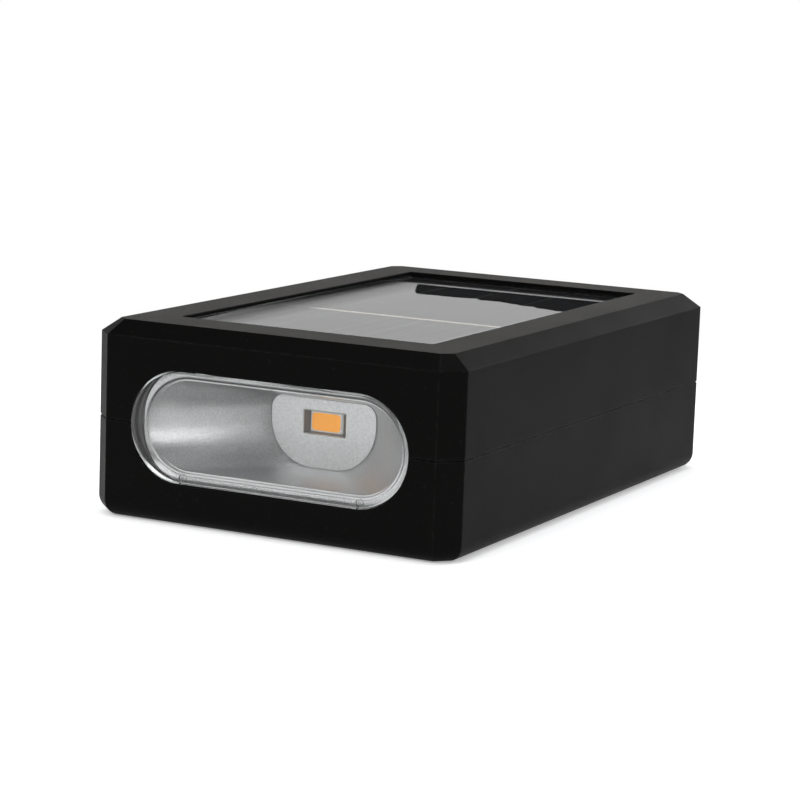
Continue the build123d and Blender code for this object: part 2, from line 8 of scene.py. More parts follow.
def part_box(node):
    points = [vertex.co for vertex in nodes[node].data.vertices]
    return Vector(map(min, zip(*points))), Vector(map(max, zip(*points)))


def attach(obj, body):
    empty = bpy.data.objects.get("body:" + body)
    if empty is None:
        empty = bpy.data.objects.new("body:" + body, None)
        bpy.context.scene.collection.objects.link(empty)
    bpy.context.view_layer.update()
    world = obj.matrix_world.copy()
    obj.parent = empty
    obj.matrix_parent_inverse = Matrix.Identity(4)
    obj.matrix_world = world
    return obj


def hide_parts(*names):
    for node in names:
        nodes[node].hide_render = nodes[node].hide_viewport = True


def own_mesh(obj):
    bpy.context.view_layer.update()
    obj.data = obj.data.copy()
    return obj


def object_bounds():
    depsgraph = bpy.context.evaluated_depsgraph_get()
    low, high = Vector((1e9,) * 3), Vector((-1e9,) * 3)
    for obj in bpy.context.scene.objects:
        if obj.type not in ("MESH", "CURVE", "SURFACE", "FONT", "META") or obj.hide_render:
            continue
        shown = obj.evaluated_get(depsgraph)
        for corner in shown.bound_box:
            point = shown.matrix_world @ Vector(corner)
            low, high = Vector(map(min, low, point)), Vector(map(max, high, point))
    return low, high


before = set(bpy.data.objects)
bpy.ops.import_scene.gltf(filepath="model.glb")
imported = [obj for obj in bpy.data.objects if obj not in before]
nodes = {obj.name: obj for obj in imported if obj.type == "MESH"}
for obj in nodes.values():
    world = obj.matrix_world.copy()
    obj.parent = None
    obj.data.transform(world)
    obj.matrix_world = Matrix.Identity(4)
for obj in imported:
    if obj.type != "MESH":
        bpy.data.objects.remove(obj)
cad_low, cad_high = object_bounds()

MM = 0.001


# ---- camera ----

photo_side = 800                 # the picture is square, this many pixels a side
sensor_width = 36.0
focal_pixels = 2692.7            # focal length, in the picture's own pixels
view_azimuth = radians(27.171)
view_elevation = radians(9.529)
view_roll = radians(2.026)
view_distance = 495.89 * MM
view_target = Vector((-3.806, 1.034, 15.831)) * MM

back = Vector((sin(view_azimuth) * cos(view_elevation), -cos(view_azimuth) * cos(view_elevation),
               sin(view_elevation)))
level_right = Vector((0, 0, 1)).cross(back).normalized()
level_up = back.cross(level_right)
right = level_right * cos(view_roll) + level_up * sin(view_roll)
up = back.cross(right)

camera = bpy.data.objects.new("camera", bpy.data.cameras.new("camera"))
camera.data.sensor_width = sensor_width
camera.data.lens = focal_pixels * sensor_width / photo_side
camera.data.clip_start = 0.01
camera.data.clip_end = 50.0
camera.matrix_world = Matrix.Translation(view_target + back * view_distance) @ Matrix((
    right, up, back)).transposed().to_4x4()
bpy.context.scene.collection.objects.link(camera)
bpy.context.scene.camera = camera


# ---- node helpers ----

def join(tree, source, target):
    """Links two sockets of a node tree."""
    tree.links.new(source, target)


def put(tree, kind, inputs=None, **settings):
    """Adds a node, gives it settings, and fills its inputs with values or links."""
    node = tree.nodes.new(kind)
    for name, value in settings.items():
        setattr(node, name, value)
    for name, value in (inputs or {}).items():
        if isinstance(value, bpy.types.NodeSocket):
            join(tree, value, node.inputs[name])
        else:
            node.inputs[name].default_value = value
    return node


def math(tree, operation, first, second=0.0, third=0.0, clamp=False):
    """One step of arithmetic on values or sockets."""
    node = put(tree, "ShaderNodeMath", {0: first, 1: second, 2: third}, operation=operation)
    node.use_clamp = clamp
    return node.outputs[0]


def noise(tree, scale, detail, roughness, place):
    """Noise over a piece: a larger scale is finer, and more detail is more broken up."""
    return put(tree, "ShaderNodeTexNoise", {"Vector": place, "Scale": scale, "Detail": detail,
                                            "Roughness": roughness}).outputs[0]


def split(tree, vector):
    """The X, Y and Z of a vector."""
    return put(tree, "ShaderNodeSeparateXYZ", {0: vector}).outputs


def spread(tree, value, low, high, to_low=0.0, to_high=1.0):
    """Stretches a value from one range to another, and clamps it."""
    return put(tree, "ShaderNodeMapRange", {0: value, 1: low, 2: high, 3: to_low,
                                            4: to_high}).outputs[0]


def mix(tree, amount, first, second):
    """Goes from the first colour to the second as the amount goes from 0 to 1."""
    node = put(tree, "ShaderNodeMix", {0: amount}, data_type="RGBA")
    for socket, value in ((node.inputs[6], first), (node.inputs[7], second)):
        if isinstance(value, bpy.types.NodeSocket):
            join(tree, value, socket)
        else:
            socket.default_value = (*value, 1.0)
    return node.outputs[2]


def surface(name, **sockets):
    """A new material with one Principled shader; constants go straight onto its sockets."""
    material = bpy.data.materials.new(name)
    material.use_nodes = True
    tree = material.node_tree
    shader = tree.nodes["Principled BSDF"]
    for key, value in sockets.items():
        socket = shader.inputs[key.replace("_", " ")]
        socket.default_value = (*value, 1.0) if isinstance(value, tuple) else value
    place = put(tree, "ShaderNodeTexCoord").outputs["Object"]
    return material, tree, shader, place


def dress(material, *names):
    """Gives a material to nodes of the frame."""
    for name in names:
        data = nodes[name].data
        data.materials.clear()
        data.materials.append(material)


# ---- shared effects ----

def new_group(name, inputs, outputs):
    """A node group with float inputs at their values, and outputs of the kinds given."""
    tree = bpy.data.node_groups.new(name, "ShaderNodeTree")
    for label, value in inputs.items():
        kind = "NodeSocketVector" if value is None else "NodeSocketFloat"
        socket = tree.interface.new_socket(label, in_out="INPUT", socket_type=kind)
        if value is not None:
            socket.default_value = value
    for label, kind in outputs.items():
        tree.interface.new_socket(label, in_out="OUTPUT", socket_type=kind)
    entry = tree.nodes.new("NodeGroupInput")
    leave = tree.nodes.new("NodeGroupOutput")
    return tree, entry.outputs, leave.inputs


def use(tree, group, **inputs):
    """Places a shared effect in a material, with its own values."""
    node = put(tree, "ShaderNodeGroup", node_tree=group)
    for name, value in inputs.items():
        socket = node.inputs[name.replace("_", " ")]
        if isinstance(value, bpy.types.NodeSocket):
            join(tree, value, socket)
        else:
            socket.default_value = value
    return node.outputs


def build_edge_wear():
    """A mask that is 1 along a piece's edges, broken up by noise, and the rounded normal."""
    tree, given, out = new_group("edge wear", {"Place": None, "Radius": 0.0004, "Patch": 900.0},
                                 {"Wear": "NodeSocketFloat", "Normal": "NodeSocketVector"})
    rounded = put(tree, "ShaderNodeBevel", {"Radius": given["Radius"]}, samples=6).outputs[0]
    flat = put(tree, "ShaderNodeNewGeometry").outputs["Normal"]
    alike = put(tree, "ShaderNodeVectorMath", {0: rounded, 1: flat}, operation="DOT_PRODUCT")
    edge = spread(tree, alike.outputs["Value"], 1.0, 0.93)
    patch = spread(tree, noise(tree, given["Patch"], 4.0, 0.5, given["Place"]), 0.35, 0.65)
    join(tree, math(tree, "MULTIPLY", edge, patch), out["Wear"])
    join(tree, rounded, out["Normal"])
    return tree


def build_grain():
    """Fine moulded grain as a height, with slow smudges and fine dust as masks."""
    tree, given, out = new_group("moulded grain", {"Place": None, "Size": 5200.0, "Dust": 0.66},
                                 {"Height": "NodeSocketFloat", "Smudge": "NodeSocketFloat",
                                  "Dust": "NodeSocketFloat"})
    join(tree, noise(tree, given["Size"], 3.0, 0.6, given["Place"]), out["Height"])
    slow = noise(tree, 60.0, 5.0, 0.5, given["Place"])
    join(tree, spread(tree, slow, 0.35, 0.7), out["Smudge"])
    specks = noise(tree, 1500.0, 2.0, 0.5, given["Place"])
    above = math(tree, "SUBTRACT", specks, given["Dust"])
    join(tree, math(tree, "MULTIPLY", above, 12.0, clamp=True), out["Dust"])
    return tree


edge_wear = build_edge_wear()
grain = build_grain()
edge_radius = 0.35 * MM          # how far in from an edge a moulded piece is worn
dust_colour = (0.35, 0.34, 0.32)


def moulded(name, colour, pale, roughness, wear_and_painted_light=0.3, grain_depth=0.25, dust=0.06,
            specular=0.5, settled_dust_and_sheen=None, sheen=0.0):
    """Moulded plastic: fine grain, slow smudges in its gloss, dust, and paler worn edges. The
    colour for settled dust and sheen is a pale film on the faces that look up, the same from
    every side: partly a thin film of dust, partly painted sheen that lightens the top faces."""
    material, tree, shader, place = surface(name, Specular_IOR_Level=specular,
                                            Specular_Tint=(1.0, 0.97, 0.94),
                                            Sheen_Weight=sheen, Sheen_Roughness=0.2,
                                            Sheen_Tint=(1.0, 0.96, 0.92))
    worn = use(tree, edge_wear, Place=place, Radius=edge_radius)
    fine = use(tree, grain, Place=place)
    tint = mix(tree, math(tree, "MULTIPLY", fine["Smudge"], 0.35), colour, pale)
    tint = mix(tree, math(tree, "MULTIPLY", fine["Dust"], dust), tint, dust_colour)
    # painted sheen, partly dust: a pale film lightens the faces that look up
    if settled_dust_and_sheen:
        facing = split(tree, put(tree, "ShaderNodeNewGeometry").outputs["Normal"])["Z"]
        clumps = noise(tree, 1300.0, 4.0, 0.75, place)
        film = math(tree, "MULTIPLY", spread(tree, facing, 0.93, 0.99),
                    spread(tree, clumps, 0.35, 0.65, 0.2, 1.0))
        tint = mix(tree, film, tint, settled_dust_and_sheen)
    tint = mix(tree, math(tree, "MULTIPLY", worn["Wear"], wear_and_painted_light), tint,
               tuple(min(4 * part + 0.03, 1.0) for part in pale))
    join(tree, tint, shader.inputs["Base Color"])
    rough = spread(tree, fine["Smudge"], 0.0, 1.0, roughness - 0.02, roughness + 0.03)
    join(tree, rough, shader.inputs["Roughness"])
    bump = put(tree, "ShaderNodeBump", {"Strength": grain_depth, "Distance": 0.04 * MM,
                                        "Height": fine["Height"], "Normal": worn["Normal"]})
    join(tree, bump.outputs[0], shader.inputs["Normal"])
    return material


def rubber(name, colour, roughness=0.6):
    """Dull soft material with more dust on it and little wear."""
    return moulded(name, colour, tuple(min(1.4 * part, 1.0) for part in colour), roughness,
                   wear_and_painted_light=0.1, grain_depth=0.15, dust=0.15)


def metal(name, colour, roughness, grain_scale=900.0):
    """Bare metal with fine marks, a little dulled in patches."""
    material, tree, shader, place = surface(name, Metallic=1.0)
    marks = noise(tree, grain_scale, 4.0, 0.6, place)
    dull = noise(tree, 120.0, 4.0, 0.5, place)
    join(tree, mix(tree, spread(tree, dull, 0.35, 0.7, 0.0, 0.35), colour,
                   tuple(0.7 * part for part in colour)), shader.inputs["Base Color"])
    join(tree, spread(tree, marks, 0.3, 0.7, roughness - 0.08, roughness + 0.1),
         shader.inputs["Roughness"])
    bump = put(tree, "ShaderNodeBump", {"Strength": 0.15, "Distance": 0.02 * MM, "Height": marks})
    join(tree, bump.outputs[0], shader.inputs["Normal"])
    return material


# ---- finishes ----

# the shell's top faces get a pale film, partly dust and partly painted sheen
shell_plastic = moulded("shell plastic", (0.0022, 0.0022, 0.0021), (0.003, 0.0029, 0.0028), 0.48,
                        wear_and_painted_light=0.25, grain_depth=0.8, dust=0.012, specular=0.035, sheen=0.12,
                        settled_dust_and_sheen=(0.03, 0.028, 0.026))
bare_plastic = moulded("bare reflector plastic", (0.006, 0.006, 0.006), (0.01, 0.01, 0.01), 0.4,
                       specular=0.2)
window_plastic = moulded("window wall plastic", (0.05, 0.045, 0.038), (0.075, 0.068, 0.058), 0.45,
                         wear_and_painted_light=0.0)
dress(shell_plastic, "front_cover", "rear_housing")
dress(moulded("button plastic", (0.05, 0.05, 0.052), (0.07, 0.07, 0.07), 0.5), "power_button")
dress(moulded("holder plastic", (0.02, 0.02, 0.02), (0.03, 0.03, 0.03), 0.5), "battery_holder")
dress(moulded("switch plastic", (0.16, 0.16, 0.17), (0.2, 0.2, 0.2), 0.5), "power_switch")
dress(moulded("plunger plastic", (0.75, 0.75, 0.72), (0.8, 0.8, 0.78), 0.45), "switch_plunger")
dress(moulded("socket nylon", (0.78, 0.76, 0.7), (0.85, 0.84, 0.8), 0.45), "wire_sockets")
dress(moulded("component resin", (0.03, 0.03, 0.032), (0.05, 0.05, 0.05), 0.45), "board_parts")
dress(rubber("gasket silicone", (0.012, 0.012, 0.013)), "lower_lens_gasket", "upper_lens_gasket",
      "button_seal")
dress(rubber("seal silicone", (0.4, 0.41, 0.41)), "housing_seal")
dress(rubber("foam tape", (0.7, 0.7, 0.68), 0.8), "panel_tape")
zinc = metal("zinc plating", (0.6, 0.6, 0.61), 0.3)
nickel = metal("nickel plating", (0.72, 0.7, 0.66), 0.22)
dress(zinc, "cover_screws", "board_screws", "lower_led_board_screws", "upper_led_board_screws")
dress(nickel, "battery_plate", "spring_plate", "battery_spring", "button_spring")


def coated(name, colour, pale):
    """Board lacquer or sleeve: glossy, a little uneven."""
    material, tree, shader, place = surface(name, Coat_Weight=0.4, Coat_Roughness=0.15)
    patch = noise(tree, 300.0, 4.0, 0.5, place)
    join(tree, mix(tree, spread(tree, patch, 0.3, 0.7), colour, pale), shader.inputs["Base Color"])
    slow = noise(tree, 80.0, 3.0, 0.5, place)
    join(tree, spread(tree, slow, 0.3, 0.7, 0.25, 0.4), shader.inputs["Roughness"])
    return material


dress(coated("green board lacquer", (0.02, 0.17, 0.07), (0.03, 0.22, 0.09)), "control_board")
dress(coated("black board lacquer", (0.012, 0.013, 0.015), (0.02, 0.021, 0.024)),
      "lower_led_board", "upper_led_board", "panel_substrate")
dress(coated("shrink sleeve", (0.08, 0.25, 0.38), (0.12, 0.3, 0.42)), "battery_cell")


def build_cells():
    """Dark silicon strips, streaked along their length, with fine pale fingers."""
    material, tree, shader, place = surface("silicon cells", Specular_IOR_Level=0.1)
    parts = split(tree, place)
    finger_pitch = 1.6 * MM
    dark_beyond, palest_at = 8.0 * MM, -12.0 * MM
    along = math(tree, "FRACT", math(tree, "DIVIDE", parts["X"], finger_pitch))
    near = math(tree, "ABSOLUTE", math(tree, "SUBTRACT", along, 0.5))
    finger = spread(tree, near, 0.05, 0.02)
    lie = put(tree, "ShaderNodeMapping", {"Vector": place, "Scale": (1.0, 0.015, 1.0)}).outputs[0]
    streak = noise(tree, 900.0, 3.0, 0.6, lie)
    pale = math(tree, "MULTIPLY", spread(tree, streak, 0.45, 0.65),
                spread(tree, parts["Y"], dark_beyond, palest_at))
    base = mix(tree, pale, (0.004, 0.0045, 0.007), (0.06, 0.062, 0.07))
    join(tree, mix(tree, finger, base, (0.035, 0.035, 0.037)), shader.inputs["Base Color"])
    join(tree, spread(tree, streak, 0.3, 0.7, 0.3, 0.45), shader.inputs["Roughness"])
    return material


def build_ribbon():
    """Whitish tinned ribbon with a satin face, dark at its left end as the cell's edge is."""
    material, tree, shader, place = surface("tinned ribbon", Metallic=0.2)
    marks = noise(tree, 700.0, 4.0, 0.6, place)
    tin = spread(tree, split(tree, place)["X"], -17.5 * MM, -14.5 * MM)
    tinned = mix(tree, spread(tree, marks, 0.3, 0.7), (0.82, 0.75, 0.67), (0.92, 0.87, 0.82))
    join(tree, mix(tree, tin, (0.02, 0.02, 0.022), tinned), shader.inputs["Base Color"])
    join(tree, spread(tree, marks, 0.3, 0.7, 0.4, 0.6), shader.inputs["Roughness"])
    return material


def build_resin():
    """Clear poured resin that waves a little. Its normals lean over on a swollen patch with a
    ragged edge near the far end, along the far wall and along the left wall."""
    material, tree, shader, place = surface("panel resin", Base_Color=(0.95, 0.96, 0.95),
                                            Transmission_Weight=1.0, IOR=1.33)
    low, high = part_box("panel_resin")
    left_wall, far_wall = low[0], high[1]
    swell_lean, far_lean, left_lean = -0.32, -0.3, 0.25
    slant, side_slant = -0.33, 0.48
    parts = split(tree, place)
    x, y = parts["X"], parts["Y"]
    fine = noise(tree, 900.0, 2.0, 0.5, place)
    join(tree, spread(tree, fine, 0.3, 0.7, 0.02, 0.06), shader.inputs["Roughness"])
    wave = noise(tree, 60.0, 2.0, 0.5, place)
    bump = put(tree, "ShaderNodeBump", {"Strength": 0.25, "Distance": 0.2 * MM, "Height": wave})
    ragged = math(tree, "SUBTRACT", noise(tree, 260.0, 3.0, 0.6, place), 0.5)
    wobble = math(tree, "MULTIPLY", ragged, 4.0 * MM)
    # the patch's near edge slants on the right, its far edge is straight, its left side slants
    beyond = math(tree, "MAXIMUM", math(tree, "SUBTRACT", x, 5.0 * MM), 0.0)
    near_edge = math(tree, "MULTIPLY_ADD", beyond, slant, far_wall - 22.8 * MM)
    past_edge = math(tree, "SUBTRACT", y, math(tree, "ADD", near_edge, wobble))
    far_edge = spread(tree, y, far_wall - 8.9 * MM, far_wall - 10.2 * MM)
    swell = math(tree, "MULTIPLY", spread(tree, past_edge, 0.0, 1.2 * MM), far_edge)
    side = math(tree, "MULTIPLY_ADD", y, side_slant, -side_slant * (far_wall - 11.3 * MM))
    side = math(tree, "ADD", math(tree, "ADD", x, side), math(tree, "MULTIPLY", wobble, 0.5))
    side = spread(tree, side, left_wall + 7.0 * MM, left_wall + 7.5 * MM)
    swell = math(tree, "MULTIPLY", swell, side)
    at_far = spread(tree, y, far_wall - 9.2 * MM, far_wall - 5.0 * MM)
    at_left = spread(tree, x, left_wall + 10.5 * MM, left_wall + 0.5 * MM)
    at_left = math(tree, "MULTIPLY", at_left, math(tree, "SUBTRACT", 1.0, at_far))
    swell_tilt = math(tree, "MULTIPLY", swell, swell_lean)
    tilt = put(tree, "ShaderNodeCombineXYZ", {
        0: math(tree, "MULTIPLY", at_left, left_lean),
        1: math(tree, "ADD", swell_tilt, math(tree, "MULTIPLY", at_far, far_lean)),
    }).outputs[0]
    leaning = put(tree, "ShaderNodeVectorMath", {0: bump.outputs[0], 1: tilt}, operation="ADD")
    straight = put(tree, "ShaderNodeVectorMath", {0: leaning.outputs[0]}, operation="NORMALIZE")
    join(tree, straight.outputs[0], shader.inputs["Normal"])
    return material


def build_lens():
    """Clear moulded plastic with a faint haze."""
    material, tree, shader, place = surface("clear lens", Base_Color=(0.98, 0.99, 0.99),
                                            Transmission_Weight=1.0, IOR=1.49)
    haze = noise(tree, 300.0, 3.0, 0.5, place)
    join(tree, spread(tree, haze, 0.3, 0.7, 0.0, 0.03), shader.inputs["Roughness"])
    return material


def build_satin():
    """Satin metallised plastic with a fine sparkle."""
    material, tree, shader, place = surface("satin metallising", Metallic=1.0)
    sparkle = noise(tree, 3000.0, 2.0, 0.6, place)
    slow = noise(tree, 90.0, 4.0, 0.5, place)
    tint = mix(tree, spread(tree, slow, 0.3, 0.7), (0.5, 0.505, 0.51), (0.56, 0.56, 0.56))
    tint = mix(tree, spread(tree, sparkle, 0.35, 0.7, 0.0, 0.5), tint, (0.88, 0.88, 0.88))
    join(tree, tint, shader.inputs["Base Color"])
    join(tree, spread(tree, sparkle, 0.3, 0.7, 0.3, 0.44), shader.inputs["Roughness"])
    bump = put(tree, "ShaderNodeBump", {"Strength": 0.8, "Distance": 0.05 * MM, "Height": sparkle})
    join(tree, bump.outputs[0], shader.inputs["Normal"])
    return material


def build_lip():
    """The reflector's lip: a painted highlight along the mouth's lower edge and painted shade
    along its top, set by height.
    """
    material, tree, shader, place = surface("reflector lip", Metallic=0.6)
    height = split(tree, place)["Z"]
    low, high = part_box("lower_lens")
    marks = noise(tree, 1800.0, 3.0, 0.6, place)
    # painted light: the lip goes from a painted highlight low down to painted shade high up, with
    # a ragged line between
    wear_and_painted_light = math(tree, "MULTIPLY_ADD", math(tree, "SUBTRACT", marks, 0.5), 3.0 * MM, height)
    painted_light_mask = spread(tree, wear_and_painted_light, high[2] - 6.0 * MM, low[2] + 6.0 * MM)
    tint = mix(tree, painted_light_mask, (0.03, 0.03, 0.032), (0.97, 0.97, 0.97))
    join(tree, tint, shader.inputs["Base Color"])
    join(tree, spread(tree, marks, 0.3, 0.7, 0.45, 0.6), shader.inputs["Roughness"])
    return material


def build_phosphor():
    """Amber phosphor with a painted glow: it gives off a little light of its own."""
    material, tree, shader, place = surface("amber phosphor", Emission_Strength=0.6,
                                            Specular_IOR_Level=0.05)
    grain_mask = noise(tree, 4000.0, 3.0, 0.6, place)
    tint = mix(tree, spread(tree, grain_mask, 0.3, 0.7), (0.9, 0.33, 0.008), (0.96, 0.38, 0.015))
    join(tree, tint, shader.inputs["Base Color"])
    # painted glow: the phosphor's colour is given off as light
    join(tree, tint, shader.inputs["Emission Color"])
    join(tree, spread(tree, grain_mask, 0.3, 0.7, 0.4, 0.55), shader.inputs["Roughness"])
    return material


satin = build_satin()
dress(build_cells(), "solar_cells")
dress(build_ribbon(), "cell_ribbon")
dress(build_lens(), "lower_lens", "upper_lens")
dress(satin, "lower_reflector", "upper_reflector")
dress(build_phosphor(), "lower_led_phosphor", "upper_led_phosphor")
carrier_white = moulded("white carrier", (0.8, 0.79, 0.75), (0.86, 0.85, 0.82), 0.4, wear_and_painted_light=0.05)
# painted glow: the white carrier gives off a little light, which lifts it out of the shade in the
# reflector
carrier_shader = carrier_white.node_tree.nodes["Principled BSDF"]
carrier_shader.inputs["Emission Color"].default_value = (0.8, 0.78, 0.74, 1.0)
carrier_shader.inputs["Emission Strength"].default_value = 0.3
dress(carrier_white, "lower_led_body", "upper_led_body")


# ---- modelling helpers ----

lens_proud = 0.3 * MM
end_face = cad_low[1] + lens_proud      # the lower end of the shells
lens_low, lens_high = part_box("lower_lens")
middle_height = (lens_low[2] + lens_high[2]) / 2


def start_piece(name, *finishes):
    """An empty mesh at the origin, in edit mode, with its material slots."""
    bpy.ops.object.select_all(action="DESELECT")
    bpy.ops.mesh.primitive_plane_add(size=1.0)
    piece = bpy.context.object
    piece.name = piece.data.name = name
    for finish in finishes:
        piece.data.materials.append(finish)
    bpy.ops.object.mode_set(mode="EDIT")
    bpy.ops.mesh.delete(type="VERT")
    bpy.ops.mesh.select_mode(type="VERT")
    return piece


def pick(wanted):
    """In edit mode, selects the vertices whose place is wanted, and nothing else."""
    bpy.ops.mesh.select_all(action="DESELECT")
    mesh = bmesh.from_edit_mesh(bpy.context.object.data)
    for vertex in mesh.verts:
        vertex.select_set(wanted(vertex.co))
    mesh.select_flush_mode()
    bmesh.update_edit_mesh(bpy.context.object.data)


def at_other_end(piece, name):
    """A copy with its own mesh, turned half round to the upper end."""
    twin = piece.copy()
    twin.name = name
    twin.data = piece.data.copy()
    twin.data.name = name
    twin.data.transform(Matrix.Rotation(radians(180), 4, "Z"))
    bpy.context.scene.collection.objects.link(twin)
    return twin


# ---- resin over the panel ----

def model_resin():
    """A clear sheet that creeps up the walls. It reaches past the cells into the board, so that
    cells and ribbon lie in it. Each ring of the creep has a width and a drop, in mm."""
    low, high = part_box("panel_resin")
    into_board = 0.05 * MM
    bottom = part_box("solar_cells")[0][2] - into_board
    creep = ((0.3, 0.17), (0.4, 0.13), (0.6, 0.1), (0.9, 0.07), (1.3, 0.03), (0.3, 0.0))
    top = high[2] + sum(drop for _, drop in creep) * MM
    size = (high[0] - low[0], high[1] - low[1], top - bottom)
    middle = ((low[0] + high[0]) / 2, (low[1] + high[1]) / 2, (top + bottom) / 2)
    piece = start_piece("panel_resin_sheet", build_resin())
    bpy.ops.mesh.primitive_cube_add(size=1.0, location=middle)
    bpy.ops.transform.resize(value=size, center_override=middle)
    pick(lambda place: place.z > middle[2])
    for width, drop in creep:
        bpy.ops.mesh.inset(thickness=width * MM, depth=-drop * MM)
    bpy.ops.object.mode_set(mode="OBJECT")
    bpy.ops.object.shade_smooth_by_angle(angle=radians(35))
    return piece


resin_sheet = model_resin()
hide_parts("panel_resin")
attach(resin_sheet, "housing")


# ---- reflectors ----

def draw_outline(depth, width, height, lift, top_corner, bottom_corner, shift=0.0):
    """Adds a round-cornered rectangle that faces out of the lower end, at a depth behind it. All
    sizes are in mm; lift and shift move it from the lens's middle."""
    close = 1e-7
    middle = Vector((shift * MM, end_face + depth * MM, middle_height + lift * MM))
    bpy.ops.mesh.primitive_plane_add(size=1.0, location=middle, rotation=(radians(90), 0, 0))
    bpy.ops.transform.resize(value=(width * MM, 1.0, height * MM), center_override=middle)
    for corner, side in ((top_corner, 1), (bottom_corner, -1)):
        pick(lambda place: abs(place.y - middle.y) < close
             and abs(place.z - middle.z - side * height * MM / 2) < close
             and abs(abs(place.x - middle.x) - width * MM / 2) < close)
        bpy.ops.mesh.bevel(offset_type="OFFSET", offset=corner * MM, segments=12, profile=0.5,
                           affect="VERTICES", clamp_overlap=False)


def draw_band(first, second, slot, cuts=0):
    """Joins two outlines with a band of faces, gives it a finish, and hides it from the next."""
    draw_outline(*first)
    draw_outline(*second)
    bpy.ops.mesh.select_all(action="SELECT")
    bpy.ops.mesh.delete(type="ONLY_FACE")
    bpy.ops.mesh.select_all(action="SELECT")
    bpy.ops.mesh.bridge_edge_loops(number_cuts=cuts, interpolation="LINEAR", smoothness=0.0)
    bpy.ops.mesh.select_all(action="SELECT")
    bpy.context.object.active_material_index = slot
    bpy.ops.object.material_slot_assign()
    bpy.ops.mesh.hide()


def round_mouth(outset, depth):
    """The outline of the reflector's mouth, made larger all round."""
    return depth, 48.8 + 2 * outset, 16.2 + 2 * outset, 0.0, 8.09 + outset, 8.09 + outset


def model_reflector():
    """Satin trough with a small lip round its mouth, a bare flange, and a window in its floor."""
    piece = start_piece("lower_reflector_trough", satin, bare_plastic, window_plastic, build_lip(),
                        metal("window edge", (0.97, 0.97, 0.96), 0.5))
    silver, bare, window, lip, edge = range(5)
    floor_lift, window_lift, window_shift = -1.95, -0.1, 0.2
    trough_cuts = 9
    # outlines from the flange inwards, each with the finish of the band that leads on from it
    steps = (
        ((3.6, 56.4, 22.4, 0.0, 11.18, 11.18), bare),
        ((3.6, 52.2, 21.2, 0.0, 10.5, 10.5), bare),
        ((3.42, 52.0, 21.0, 0.0, 10.4, 10.4), bare),
        ((3.42, 51.7, 20.7, 0.0, 10.25, 10.25), bare),
        ((3.6, 51.5, 20.5, 0.0, 10.15, 10.15), bare),
        ((3.6, 50.2, 19.9, 0.0, 8.9, 8.9), silver),
        (round_mouth(0.5, 3.6), silver),
        (round_mouth(0.47, 3.85), silver),
        (round_mouth(0.34, 3.85), silver),
        (round_mouth(0.31, 3.42), lip),
        (round_mouth(0.06, 3.42), lip),
        (round_mouth(0.0, 3.55), silver),
        ((21.0, 20.8, 12.3, floor_lift, 2.5, 8.09), silver),
        ((21.25, 20.7, 12.2, floor_lift, 2.45, 8.04), silver),
        ((21.25, 20.5, 12.0, floor_lift, 2.35, 7.94), silver),
        ((21.0, 20.4, 11.9, floor_lift, 2.3, 7.89), silver),
        ((21.0, 8.75, 4.6, window_lift, 0.3, 0.3, window_shift), edge),
        ((21.0, 8.55, 4.4, window_lift, 0.2, 0.2, window_shift), edge),
        ((21.18, 8.2, 4.0, window_lift, 0.1, 0.1, window_shift), window),
        ((23.95, 8.2, 4.0, window_lift, 0.1, 0.1, window_shift), window),
    )
    for (first, finish), (second, _) in zip(steps, steps[1:]):
        deep = second[0] - first[0] > 10
        draw_band(first, second, finish, cuts=trough_cuts if deep else 0)
    bpy.ops.mesh.reveal(select=True)
    bpy.ops.mesh.remove_doubles(threshold=1e-6)
    bpy.ops.mesh.normals_make_consistent(inside=False)
    bpy.ops.object.mode_set(mode="OBJECT")
    flange = min(piece.data.polygons, key=lambda face: face.center.y)
    if flange.normal.y > 0:
        piece.data.flip_normals()
    wall = piece.modifiers.new("wall", "SOLIDIFY")
    wall.thickness = 0.9 * MM
    wall.offset = -1.0
    wall.material_offset = 1
    wall.material_offset_rim = 1
    bpy.ops.object.modifier_apply(modifier="wall")
    bpy.ops.object.shade_smooth_by_angle(angle=radians(32))
    return piece


lower_trough = model_reflector()
upper_trough = at_other_end(lower_trough, "upper_reflector_trough")
for piece, node in ((lower_trough, "lower_reflector"), (upper_trough, "upper_reflector")):
    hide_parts(node)
    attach(piece, "housing")


# ---- solder beside the light sources ----

def model_solder():
    """Two uneven lines of solder on the board, one at each end of the light source."""
    piece = start_piece("lower_led_solder", solder)
    size = (0.5 * MM, 0.26 * MM, 3.0 * MM)
    for x in (-4.35, 3.4):
        middle = (x * MM, end_face + 23.87 * MM, middle_height - 0.3 * MM)
        bpy.ops.mesh.primitive_cube_add(size=1.0, location=middle)
        bpy.ops.transform.resize(value=size, center_override=middle)
    bpy.ops.mesh.select_all(action="SELECT")
    bpy.ops.mesh.subdivide(number_cuts=5)
    bpy.ops.mesh.vertices_smooth(factor=0.5, repeat=2)
    bpy.ops.transform.vertex_random(offset=0.05 * MM, seed=3)
    bpy.ops.object.mode_set(mode="OBJECT")
    bpy.ops.object.shade_smooth()
    return piece


solder = metal("solder", (0.86, 0.85, 0.82), 0.35, 2500.0)
lower_solder = model_solder()
upper_solder = at_other_end(lower_solder, "upper_led_solder")
for piece in (lower_solder, upper_solder):
    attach(piece, "housing")


# ---- return spring of the button ----

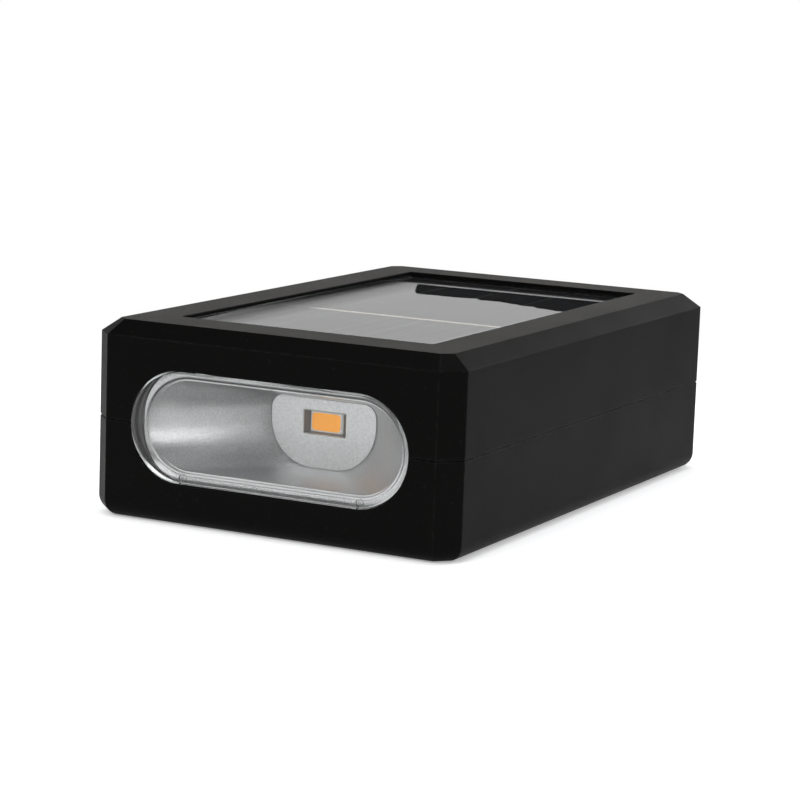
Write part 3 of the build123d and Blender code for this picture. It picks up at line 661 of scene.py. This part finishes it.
def model_button_spring():
    """Round wire in two rising turns between the button's flange and the switch."""
    low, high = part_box("button_spring")
    middle = ((low[0] + high[0]) / 2, (low[1] + high[1]) / 2)
    wire, turns, coil_radius = 0.25 * MM, 2, 3.1 * MM
    piece = start_piece("button_return_spring", nickel)
    bpy.ops.mesh.primitive_circle_add(vertices=12, radius=wire, location=(coil_radius, 0, 0),
                                      rotation=(radians(90), 0, 0))
    bpy.ops.object.mode_set(mode="OBJECT")
    coil = piece.modifiers.new("coil", "SCREW")
    coil.angle = radians(360 * turns)
    coil.screw_offset = high[2] - low[2] - 2 * wire
    coil.steps = coil.render_steps = 56
    bpy.ops.object.modifier_apply(modifier="coil")
    bpy.ops.object.mode_set(mode="EDIT")
    bpy.ops.mesh.select_all(action="DESELECT")
    bpy.ops.mesh.select_non_manifold()
    bpy.ops.mesh.fill()
    bpy.ops.mesh.select_all(action="SELECT")
    bpy.ops.mesh.normals_make_consistent(inside=False)
    bpy.ops.transform.translate(value=(middle[0], middle[1], low[2] + wire))
    bpy.ops.object.mode_set(mode="OBJECT")
    bpy.ops.object.shade_smooth_by_angle(angle=radians(50))
    return piece


button_coil = model_button_spring()
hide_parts("button_spring")
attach(button_coil, "housing")
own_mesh(button_coil)


# ---- floor, world and lamps ----

def seen(tree):
    """Two masks: rays from the camera, off gloss or through glass, and the camera's rays alone."""
    ray = put(tree, "ShaderNodeLightPath").outputs
    either = math(tree, "ADD", ray["Is Camera Ray"], ray["Is Glossy Ray"])
    return math(tree, "ADD", either, ray["Is Transmission Ray"], clamp=True), ray["Is Camera Ray"]


def build_floor():
    """White paper: it keeps the shadow near the light, and is plain white further off."""
    material, tree, shader, place = surface("floor paper", Roughness=0.9, Emission_Strength=0.3)
    shown, camera_ray = seen(tree)
    join(tree, mix(tree, shown, (0.0, 0.0, 0.0), (1.0, 1.0, 1.0)), shader.inputs["Emission Color"])
    fibre = noise(tree, 400.0, 3.0, 0.5, place)
    paper = mix(tree, spread(tree, fibre, 0.3, 0.7), (0.79, 0.79, 0.79), (0.81, 0.81, 0.81))
    join(tree, mix(tree, shown, paper, (0.98, 0.98, 0.98)), shader.inputs["Base Color"])
    distance = put(tree, "ShaderNodeVectorMath", {0: place}, operation="LENGTH").outputs["Value"]
    shadow_ends, plain_from = 90.0 * MM, 220.0 * MM
    far = math(tree, "MULTIPLY", spread(tree, distance, shadow_ends, plain_from), shown)
    pale = mix(tree, camera_ray, (0.85, 0.85, 0.85), (1.0, 1.0, 1.0))
    plain = put(tree, "ShaderNodeEmission", {"Color": pale, "Strength": 1.0})
    both = put(tree, "ShaderNodeMixShader", {0: far, 1: shader.outputs[0], 2: plain.outputs[0]})
    join(tree, both.outputs[0], tree.nodes["Material Output"].inputs["Surface"])
    return material


bpy.ops.object.select_all(action="DESELECT")
bpy.ops.mesh.primitive_plane_add(size=8.0, location=(0, 0, cad_low[2] - 0.05 * MM))
floor = bpy.context.object
floor.name = "floor"
floor.data.materials.append(build_floor())


def build_world():
    """Even light, with a white background that gloss shows too, and a dim ceiling above it."""
    world = bpy.data.worlds.new("studio")
    bpy.context.scene.world = world
    world.use_nodes = True
    sky = world.node_tree
    background = sky.nodes["Background"]
    shown, camera_ray = seen(sky)
    rise = split(sky, put(sky, "ShaderNodeTexCoord").outputs["Generated"])["Z"]
    white = math(sky, "MAXIMUM", camera_ray, spread(sky, rise, 0.24, 0.44, 0.8, 0.06))
    level = put(sky, "ShaderNodeMix", {0: shown, 2: 0.5, 3: white}, data_type="FLOAT").outputs[0]
    join(sky, level, background.inputs["Strength"])
    join(sky, mix(sky, shown, (0.95, 0.97, 1.0), (1.0, 1.0, 1.0)), background.inputs["Color"])


build_world()


lamp_aim = Vector((0, 0, 20.0 * MM))


def lamp(name, place, size, power):
    """A rectangular lamp, its size in m and its power in W, turned to the middle of the light."""
    data = bpy.data.lights.new(name, "AREA")
    data.shape = "RECTANGLE"
    data.size, data.size_y = size
    data.energy = power
    piece = bpy.data.objects.new(name, data)
    piece.location = place
    piece.rotation_mode = "QUATERNION"
    piece.rotation_quaternion = (lamp_aim - Vector(place)).to_track_quat("-Z", "Y")
    bpy.context.scene.collection.objects.link(piece)


lamp("side", (0.85, -0.3, 0.32), (0.35, 0.35), 1.9)
lamp("front", (-0.25, -0.9, 0.75), (0.9, 0.7), 6.0)
lamp("top", (0.0, 0.05, 1.15), (0.5, 0.5), 4.5)
lamp("back", (0.38, 1.1, 0.58), (0.35, 0.3), 4.0)

bpy.context.scene.view_settings.view_transform = "Standard"
